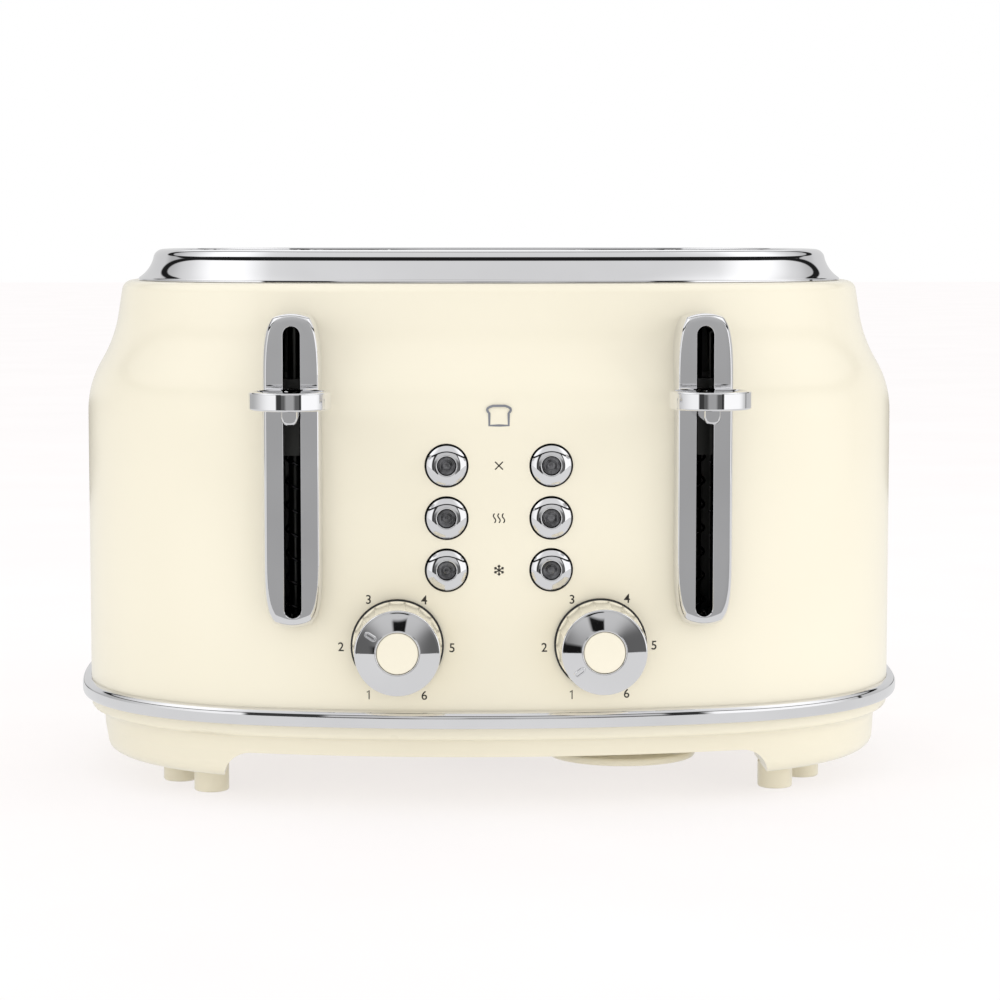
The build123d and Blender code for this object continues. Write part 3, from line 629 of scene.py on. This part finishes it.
def build_body_shell():
    """Cream skin with the front's openings, and a groove where the back panel meets it."""
    outer = shoulder_profile(0)
    inner = shoulder_profile(SKIN)
    top = outer[-1]
    under = inner[-1]
    flange = line_points(top, (26.8, top[1]), 3) + [(26.8, top[1]), (26.8, under[1])]
    hem = arc_points((0.6, SHELL_BOTTOM + 0.6), 0.6, -90, -180, 3)
    profile = hem + outer[1:-1] + flange + inner[::-1]
    vertices, faces = ring_solid(profile, PLAN_STEP)
    shell = finish_mesh("body_shell_skin", vertices, faces, MATERIALS["cream_enamel"], HOUSING,
                        ["body_shell", "back_panel"])
    cutters = []
    for x in (-UNIT_X, UNIT_X):
        cutters.append(cutter_box(x - 6, x + 6, -150, -95, SLOT_LOW - 0.5, SLOT_HIGH + 1.0))
    for x in (-BUTTON_X, BUTTON_X):
        for z in BUTTON_ROWS.values():
            cutters.append(cutter_cylinder(x, z, -150, -120, BUTTON_HOLE_RADIUS))
    for x in (-KNOB_X, KNOB_X):
        cutters.append(cutter_cylinder(x, KNOB_Z, -150, -120, SHAFT_HOLE_RADIUS, 48))
    cutters.append(cutter_cylinder(0, GLAND_Z, 120, 150, GLAND_RADIUS, 48))
    seam = 0.4
    seam_x = BACK_PANEL_HALF_WIDTH + 0.2
    seam_top = BACK_PANEL_TOP + 0.5
    for x in (-seam_x, seam_x):
        cutters.append(cutter_box(x - seam, x + seam, 100, 150, SHELL_BOTTOM - 1, seam_top))
    across = BACK_PANEL_HALF_WIDTH - 0.3
    cutters.append(cutter_box(-across, across, 100, 150, BACK_PANEL_TOP - 0.2, seam_top))
    cut(shell, cutters)


def build_top_frame():
    """Chrome surround: flared foot, hollow flank, rounded top edge and a drop to the panel."""
    profile = [(21.35, 203.42), (21.2, 203.6), (21.2, 203.9)]
    profile += arc_points((21.9, 204.0), 0.7, 180, 120, 4)[1:]
    centre = (15.2, 217.6)
    radius = hypot(21.75 - centre[0], 204.75 - centre[1])
    first = degrees(atan2(204.75 - centre[1], 21.75 - centre[0]))
    last = degrees(atan2(212.6 - centre[1], 27.3 - centre[0]))
    radius_end = hypot(212.6 - centre[1], 27.3 - centre[0])
    for k in range(15):
        t = k / 14
        angle = radians(first + (last - first) * t)
        reach = radius + (radius_end - radius) * t
        profile.append((centre[0] + reach * cos(angle), centre[1] + reach * sin(angle)))
    profile += arc_points((31.4, 211.9), 4.2, 165, 90, 12)[1:]
    profile += [(33.6, 216.1)] + arc_points((34.2, 215.5), 0.6, 90, 0, 4)
    profile += [(34.8, 212.0), (31.2, 211.2), (29.0, 206.6), (24.6, 203.42)]
    vertices, faces = ring_solid(profile, PLAN_STEP)
    finish_mesh("top_surround", vertices, faces, MATERIALS["chrome_trim"], HOUSING,
                ["top_frame"])


def build_base_band():
    """Half-round chrome bead with a flat stripe round its middle."""
    profile = [(-0.3, BASE_TOP + 0.05), (-0.8, BASE_TOP + 0.1)]
    profile += arc_points((-1.45, 35.15), 2.1, -100, -168, 8)
    profile += [(-3.64, 35.4), (-3.68, 37.4)]
    profile += arc_points((-1.45, 37.65), 2.1, 168, 100, 8)
    profile += [(-0.6, BAND_TOP), (-0.15, BAND_TOP), (-0.12, SHELL_BOTTOM - 0.15),
                (3.1, SHELL_BOTTOM - 0.15), (3.1, BASE_TOP + 0.1)]
    vertices, faces = ring_solid(profile, PLAN_STEP)
    finish_mesh("band_bead", vertices, faces, MATERIALS["chrome_trim"], HOUSING,
                ["base_band"], sharp=25.0)


# ---------------------------------------------------------------- lever guides and levers


GUIDE_END = ((0, 0), (0.6, 1.4), (0.76, 3.5), (0.88, 7.0), (0.97, 14.0), (1, 26.0))


def hermite(p0, p1, m0, m1, t):
    a = 2 * t**3 - 3 * t**2 + 1
    b = t**3 - 2 * t**2 + t
    c = 3 * t**2 - 2 * t**3
    d = t**3 - t**2
    return tuple(a * p0[k] + b * m0[k] + c * p1[k] + d * m1[k] for k in range(2))


def guide_end(half_width, pieces=6):
    """Smooth (half width, drop from the tip) points of the guide's blunt bullet end."""
    knots = [(share * half_width, drop) for share, drop in GUIDE_END]
    spans = [hypot(b[0] - a[0], b[1] - a[1]) for a, b in zip(knots, knots[1:])]
    slopes = [(1.0, 0.0)]
    for k in range(1, len(knots) - 1):
        total = spans[k - 1] + spans[k]
        slopes.append(tuple((knots[k + 1][i] - knots[k - 1][i]) / total for i in range(2)))
    slopes.append((0.0, 1.0))
    points = []
    for k, span in enumerate(spans):
        m0 = tuple(v * span for v in slopes[k])
        m1 = tuple(v * span for v in slopes[k + 1])
        points += [hermite(knots[k], knots[k + 1], m0, m1, step / pieces) for step in range(pieces)]
    return points + [knots[-1]]


def guide_outline(half_width, low, high, side=12):
    """Upright outline of the guide, clockwise from the tip, as (x, z) points."""
    end = guide_end(half_width)
    right = [(x, high - drop) for x, drop in end]
    flank = line_points(right[-1], (half_width, low + end[-1][1]), side)[1:]
    right += flank + [(x, low + drop) for x, drop in reversed(end)]
    return right + [(-x, z) for x, z in right[-2:0:-1]]


def slot_outline(half_width, low, high, side=12):
    """Round-ended slot with as many points as guide_outline, in the same order."""
    count = len(guide_end(half_width))
    turns = [radians(90 * k / (count - 1)) for k in range(count)]
    right = [(half_width * sin(turn), high - half_width + half_width * cos(turn)) for turn in turns]
    bottom = [(x, low + high - z) for x, z in reversed(right)]
    right += line_points(right[-1], bottom[0], side)[1:] + bottom
    return right + [(-x, z) for x, z in right[-2:0:-1]]


def build_lever_guide(side):
    """Chrome bezel: drafted flank, rounded shoulder, flat face and a chamfered slot."""
    x0 = SIDES[side] * UNIT_X
    chamfer = 0.5
    root = guide_outline(GUIDE_HALF_WIDTH, GUIDE_LOW, GUIDE_HIGH)
    face = guide_outline(GUIDE_FACE_HALF_WIDTH, GUIDE_LOW + 3.6, GUIDE_HIGH - 1.6)
    slot_edge = slot_outline(SLOT_HALF_WIDTH + chamfer, SLOT_LOW - chamfer, SLOT_HIGH + chamfer)
    slot = slot_outline(SLOT_HALF_WIDTH, SLOT_LOW, SLOT_HIGH)
    rings = []

    def add(outline, y):
        rings.append([(x0 + px, y, pz) for px, pz in outline])

    def between_outlines(first, last, t):
        return [(a[0] + (b[0] - a[0]) * t, a[1] + (b[1] - a[1]) * t) for a, b in zip(first, last)]

    rings.append([(x0 + px, surface_depth(x0 + px, pz) + 0.6, pz) for px, pz in root])
    flank = ((0.0, -131.5), (0.12, -133.6), (0.3, -135.4), (0.62, -136.5), (0.9, -136.95),
             (1.0, GUIDE_FACE_Y))
    for share, y in flank:
        add(between_outlines(root, face, share), y)
    add(between_outlines(face, slot_edge, 0.5), GUIDE_FACE_Y)
    add(slot_edge, GUIDE_FACE_Y)
    add(between_outlines(slot_edge, slot, 0.4), GUIDE_FACE_Y + 0.15)
    add(slot, GUIDE_FACE_Y + 0.8)
    rings.append([(x0 + px, surface_depth(x0 + px, pz) + 2.0, pz) for px, pz in slot])
    vertices, faces = bridge(rings, closed_profile=True)
    name = f"lever_guide_shell_{side}"
    finish_mesh(name, vertices, faces, MATERIALS["chrome_trim"], HOUSING,
                [f"lever_guide_{side}"])


def shoulder_inset(z):
    """How far the body's outside stands in at a height."""
    points = shoulder_profile(0)
    if z <= SHOULDER_START:
        return 0.0
    for first, last in zip(points, points[1:]):
        if first[1] <= z <= last[1] and last[1] > first[1]:
            return first[0] + (last[0] - first[0]) * (z - first[1]) / (last[1] - first[1])
    return points[-1][0]


def surface_depth(x, z):
    """Depth of the body's front at x and z, on the front and corner arcs."""
    inset = shoulder_inset(z)
    cx, cy = corner_centre()
    front_y = FRONT_RADIUS - BODY_DEPTH / 2
    reach = FRONT_RADIUS - inset
    if abs(x) <= cx * reach / (FRONT_RADIUS - CORNER_RADIUS):
        return front_y - sqrt(reach**2 - x**2)
    return cy - sqrt((CORNER_RADIUS - inset) ** 2 - (abs(x) - cx) ** 2)


def build_lever(side):
    """Finger disc with a shallow dish, and the neck that runs into the slot."""
    x0 = SIDES[side] * UNIT_X
    radius = LEVER_DISC_RADIUS
    half = 3.45
    profile = [(0.01, half - 0.9), (radius - 4.0, half - 0.8), (radius - 2.6, half - 0.35)]
    profile += arc_points((radius - 1.7, half - 0.45), 0.45, 110, 60, 4)
    profile += arc_points((radius - 0.8, half - 0.8), 0.8, 70, 0, 8)
    profile += arc_points((radius - 0.8, -half + 0.8), 0.8, 0, -90, 8)
    profile += [(0.01, -half)]
    body = f"lever_carriage_{side}"
    lathe(f"lever_disc_{side}", profile, (x0, LEVER_DISC_Y, LEVER_Z), "z", MATERIALS["chrome_trim"],
          body,
          [f"lever_knob_{side}"], count=128)
    build_neck(f"lever_neck_{side}", x0, body)


def build_neck(name, x0, body):
    """Bar under the disc with rounded lower corners, narrower where it enters the guide."""
    corner = 2.7
    half = 3.05
    top = LEVER_Z - 2.0
    low = LEVER_Z - 9.0
    outline = [(half, top)]
    outline += arc_points((half - corner, low + corner), corner, 0, -90, 8)
    outline += arc_points((corner - half, low + corner), corner, -90, -180, 8)
    outline += [(-half, top)]
    rings = []
    sections = ((-134.0, 0.75), (-137.2, 0.75), (-137.8, 1.0), (-161.6, 1.0), (-162.5, 0.95), (-162.9, 0.84))
    for y, share in sections:
        rings.append([(x0 + px * share, y, top + (pz - top) * share) for px, pz in outline])
    vertices, faces = bridge(rings)
    count = len(outline)
    faces.append(tuple(range(count)))
    faces.append(tuple(range(len(vertices) - count, len(vertices))))
    finish_mesh(name, vertices, faces, MATERIALS["chrome_trim"], body)


# ---------------------------------------------------------------- buttons and dials


def build_button(label, side):
    """Domed chrome ring round a smoked light pipe with a small moulded eye."""
    x = SIDES[side] * BUTTON_X
    z = BUTTON_ROWS[label]
    body = f"button_{label}_{side}"
    profile = [(7.72, 10.8), (7.72, 2.05)]
    profile += arc_points((3.9, 5.3), 5.2, -44, -86, 12)
    profile += arc_points((4.1, 0.5), 0.42, -90, -170, 5)
    profile += [(3.62, 1.3), (3.58, 10.8)]
    lathe(f"cap_{label}_{side}", profile, (x, BUTTON_FACE_Y, z), "y", MATERIALS["chrome_trim"], body,
          [f"button_cap_{label}_{side}"])
    lens = [(3.5, 10.6), (3.5, 1.7)]
    lens += arc_points((3.0, 1.6), 0.5, 0, -90, 4)
    lens += [(2.4, 1.25), (2.1, 1.55), (1.7, 1.5), (1.3, 1.0), (0.7, 0.72), (0.01, 0.66)]
    lathe(f"lens_{label}_{side}", lens, (x, BUTTON_FACE_Y, z), "y", MATERIALS["smoked_lens"], body,
          [f"button_lens_{label}_{side}"], count=64)


def dial_face_points():
    """Face of the ring from its rim inwards: a shallow cone, a touch steeper at the rim."""
    points = []
    radius, along = 15.4, 1.34
    steps = 14
    for k in range(steps):
        points.append((radius, along))
        slope = radians(8.8 - 1.6 * k / (steps - 1))
        radius -= 6.7 / steps
        along -= 6.7 / steps * sin(slope) / cos(slope)
    return points + [(8.68, along)]


def build_dial(side):
    """Fluted cream skirt with a plain centre, chrome face ring, raised pointer."""
    x0 = SIDES[side] * KNOB_X
    body = f"dial_{side}"
    flutes = 18
    count = flutes * 16
    rings = []
    deep = 0.62
    sections = [(0.0, 1.0, -0.4), (0.15, 1.0, 0.0), (1.2, 1.0, 0.0), (1.8, 0.85, 0.05), (2.6, 0.7, 0.12),
                (10.0, 0.7, 0.25), (19.2, 0.7, 0.45), (20.2, 0.6, 0.62), (20.6, 0.45, 0.95), (20.7, 0.3, 1.4)]
    for along, flute, shrink in sections:
        ring = []
        for k in range(count):
            angle = 2 * pi * k / count
            wave = abs(sin(angle * flutes / 2)) ** 0.5
            radius = SKIRT_RADIUS - shrink
            if flute < 1.0:
                radius -= deep * flute * wave
            ring.append((x0 + radius * cos(angle), KNOB_BACK_Y - along, KNOB_Z + radius * sin(angle)))
        rings.append(ring)
    for radius in (15.0, 8.0):
        rings.append(circle_points(x0, KNOB_Z, KNOB_BACK_Y - 20.7, radius, count))
    rings.insert(0, circle_points(x0, KNOB_Z, KNOB_BACK_Y, 3.2, count))
    vertices, faces = bridge(rings)
    finish_mesh(f"dial_skirt_{side}", vertices, faces, MATERIALS["cream_knob"], body,
                [f"knob_body_{side}"], sharp=25.0)
    centre = [(7.85, 3.0), (7.85, 0.75)] + arc_points((7.25, 0.75), 0.6, 0, -80, 6)
    centre += [(5.0, 0.06), (2.5, 0.02), (0.01, 0.0)]
    lathe(f"dial_centre_{side}", centre, (x0, KNOB_FACE_Y, KNOB_Z), "y", MATERIALS["cream_knob"], body)
    ring = [(16.1, 3.0), (16.3, 2.4)] + arc_points((15.55, 2.1), 0.75, 0, -81, 8)
    ring += dial_face_points() + arc_points((8.45, 0.55), 0.5, -75, -170, 6) + [(7.95, 3.0)]
    lathe(f"dial_ring_{side}", ring, (x0, KNOB_FACE_Y, KNOB_Z), "y", MATERIALS["chrome_trim"], body,
          [f"knob_ring_{side}"], count=128)
    # Thin black ring on the body round the dial's skirt: painted shade, a dark piece standing for the shadow
    # in the gap behind the dial.
    gap = [(17.0, -0.3), (17.85, -0.3), (17.85, 0.25), (17.0, 0.25)]
    lathe(f"dial_painted_shade_ring_{side}", gap + gap[:1], (x0, KNOB_BACK_Y, KNOB_Z), "y", MATERIALS["black_plastic"],
          HOUSING)
    build_pointer(side, x0, body)


def build_pointer(side, x0, body):
    """Small raised bar with rounded ends, lying radially on the sloping ring."""
    angle = radians(90 - POINTER_ANGLE[side])
    along = Vector((cos(angle), 0, sin(angle)))
    across = Vector((-sin(angle), 0, cos(angle)))
    steps = 10
    middle = 12.0
    ring_slope = 0.14
    rings = []
    layers = ((2.5, 1.15, 0.5), (2.5, 1.15, -0.15), (2.35, 1.0, -0.32), (2.1, 0.75, -0.36),
              (1.9, 0.55, -0.30), (1.75, 0.42, -0.1), (1.7, 0.38, 0.05))
    for half_length, half_width, lift in layers:
        ring = []
        for end in (1, -1):
            for k in range(steps + 1):
                turn = radians(-90 + 180 * k / steps) + (0 if end > 0 else pi)
                a = end * (half_length - half_width) + half_width * cos(turn)
                b = half_width * sin(turn)
                p = along * (middle + a) + across * b
                y = KNOB_FACE_Y + 0.62 + a * ring_slope + lift
                ring.append((x0 + p.x, y, KNOB_Z + p.z))
        rings.append(ring)
    vertices, faces = bridge(rings)
    count = len(rings[0])
    faces.append(tuple(range(len(vertices) - count, len(vertices))))
    finish_mesh(f"dial_pointer_{side}", vertices, faces, MATERIALS["chrome_trim"], body)


# ---------------------------------------------------------------- printing


def print_text(name, text, x, z, height):
    """Sans-serif print lying on the body's curved front, centred on x and z."""
    curve = bpy.data.curves.new(name, "FONT")
    curve.body = text
    curve.align_x = "CENTER"
    curve.align_y = "CENTER"
    curve.size = height / 0.7
    curve.offset = 0.008 * curve.size
    curve.resolution_u = 6
    temporary = bpy.data.objects.new(name, curve)
    bpy.context.scene.collection.objects.link(temporary)
    bpy.context.view_layer.update()
    mesh = bpy.data.meshes.new_from_object(temporary)
    bpy.data.objects.remove(temporary)
    xs = [v.co.x for v in mesh.vertices]
    zs = [v.co.y for v in mesh.vertices]
    middle_x = (min(xs) + max(xs)) / 2
    middle_z = (min(zs) + max(zs)) / 2
    for vertex in mesh.vertices:
        px = x + vertex.co.x - middle_x
        pz = z + vertex.co.y - middle_z
        vertex.co = place(px, front_surface(px) - 0.05, pz)
    mesh.materials.clear()
    mesh.materials.append(ink)
    piece = bpy.data.objects.new(name, mesh)
    bpy.context.scene.collection.objects.link(piece)
    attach(piece, HOUSING)


def print_strokes(name, strokes, x, z, width, material):
    """Flat bands of even width along each stroke, lying on the body's curved front."""
    vertices = []
    faces = []
    for stroke in strokes:
        first = len(vertices)
        for k, (px, pz) in enumerate(stroke):
            before = stroke[max(k - 1, 0)]
            after = stroke[min(k + 1, len(stroke) - 1)]
            tx, tz = after[0] - before[0], after[1] - before[1]
            length = hypot(tx, tz)
            nx, nz = -tz / length * width / 2, tx / length * width / 2
            for sign in (1, -1):
                qx, qz = x + px + sign * nx, z + pz + sign * nz
                vertices.append(place(qx, front_surface(qx) - 0.05, qz))
            if k:
                a = first + 2 * k - 2
                faces.append((a, a + 1, a + 3, a + 2))
    mesh = bpy.data.meshes.new(name)
    mesh.from_pydata(vertices, [], faces)
    mesh.materials.append(material)
    piece = bpy.data.objects.new(name, mesh)
    bpy.context.scene.collection.objects.link(piece)
    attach(piece, HOUSING)


def straight(start, end):
    return [start, end]


def wave_stroke(x, height, swing, count=12):
    """Rising heat line."""
    return [(x + swing * sin(2 * pi * k / count), -height / 2 + height * k / count) for k in range(count + 1)]


def flake_strokes(size):
    """Six-armed frost mark with small barbs."""
    strokes = []
    for k in range(6):
        angle = pi / 2 + k * pi / 3
        tip = (size * cos(angle), size * sin(angle))
        strokes.append(straight((0, 0), tip))
        fork = (0.58 * size * cos(angle), 0.58 * size * sin(angle))
        for turn in (-0.8, 0.8):
            barb = (fork[0] + 0.34 * size * cos(angle + turn), fork[1] + 0.34 * size * sin(angle + turn))
            strokes.append(straight(fork, barb))
    return strokes


def slice_strokes(width, height):
    """Outline of a slice of bread: square foot and a domed top that overhangs it a little."""
    half = width / 2
    outline = [(0, -height / 2), (half * 0.82, -height / 2), (half * 0.82, height * 0.12)]
    for k in range(1, 5):
        outline.append((half * 0.82 + half * 0.18 * sin(pi * k / 6), height * 0.12 + height * 0.06 * k))
    outline += [(half * 0.8, height * 0.44), (half * 0.5, height * 0.5), (0, height * 0.5)]
    return [outline, [(-x, z) for x, z in outline]]


def build_printing():
    """Plain function marks beside the buttons, a slice of bread above them, and the dial numbers."""
    marks = {
        "cancel": [straight((-1.5, -1.5), (1.5, 1.5)), straight((-1.5, 1.5), (1.5, -1.5))],
        "reheat": [wave_stroke(x, 3.6, 0.45) for x in (-1.7, 0, 1.7)],
        "defrost": flake_strokes(2.1),
    }
    for label, z in BUTTON_ROWS.items():
        print_strokes(f"mark_{label}", marks[label], 0.0, z, 0.45, ink)
    print_strokes("mark_slice", slice_strokes(9.0, 7.5), 0.0, 153.5, 0.9, grey_ink)
    scale_radius = 21.3
    for side, sign in SIDES.items():
        for number in range(1, 7):
            angle = radians(-150 + 60 * (number - 1))
            x = sign * KNOB_X - 0.3 + scale_radius * sin(angle)
            z = KNOB_Z - 1.1 + scale_radius * cos(angle)
            if number == 1:
                print_strokes(f"number_1_{side}", [[(-0.75, 0.95), (0.1, 1.7), (0.1, -1.75)]], x, z,
                              0.42, ink)
            else:
                print_text(f"number_{number}_{side}", str(number), x, z, 3.4)


# ---------------------------------------------------------------- carried-over parts


def dress_cad_nodes():
    """Gives every CAD node the material of its slot."""
    slots = {part["node"]: part["material_slot"] for part in frame["record"]["subparts"]}
    for node, part in frame["nodes"].items():
        part.data.materials.clear()
        part.data.materials.append(MATERIALS[slots[node]])


add_camera()
add_stage()
dress_cad_nodes()
build_body_shell()
build_top_frame()
build_base_band()
for side in SIDES:
    build_lever_guide(side)
    build_lever(side)
    build_dial(side)
    for label in BUTTON_ROWS:
        build_button(label, side)
build_printing()
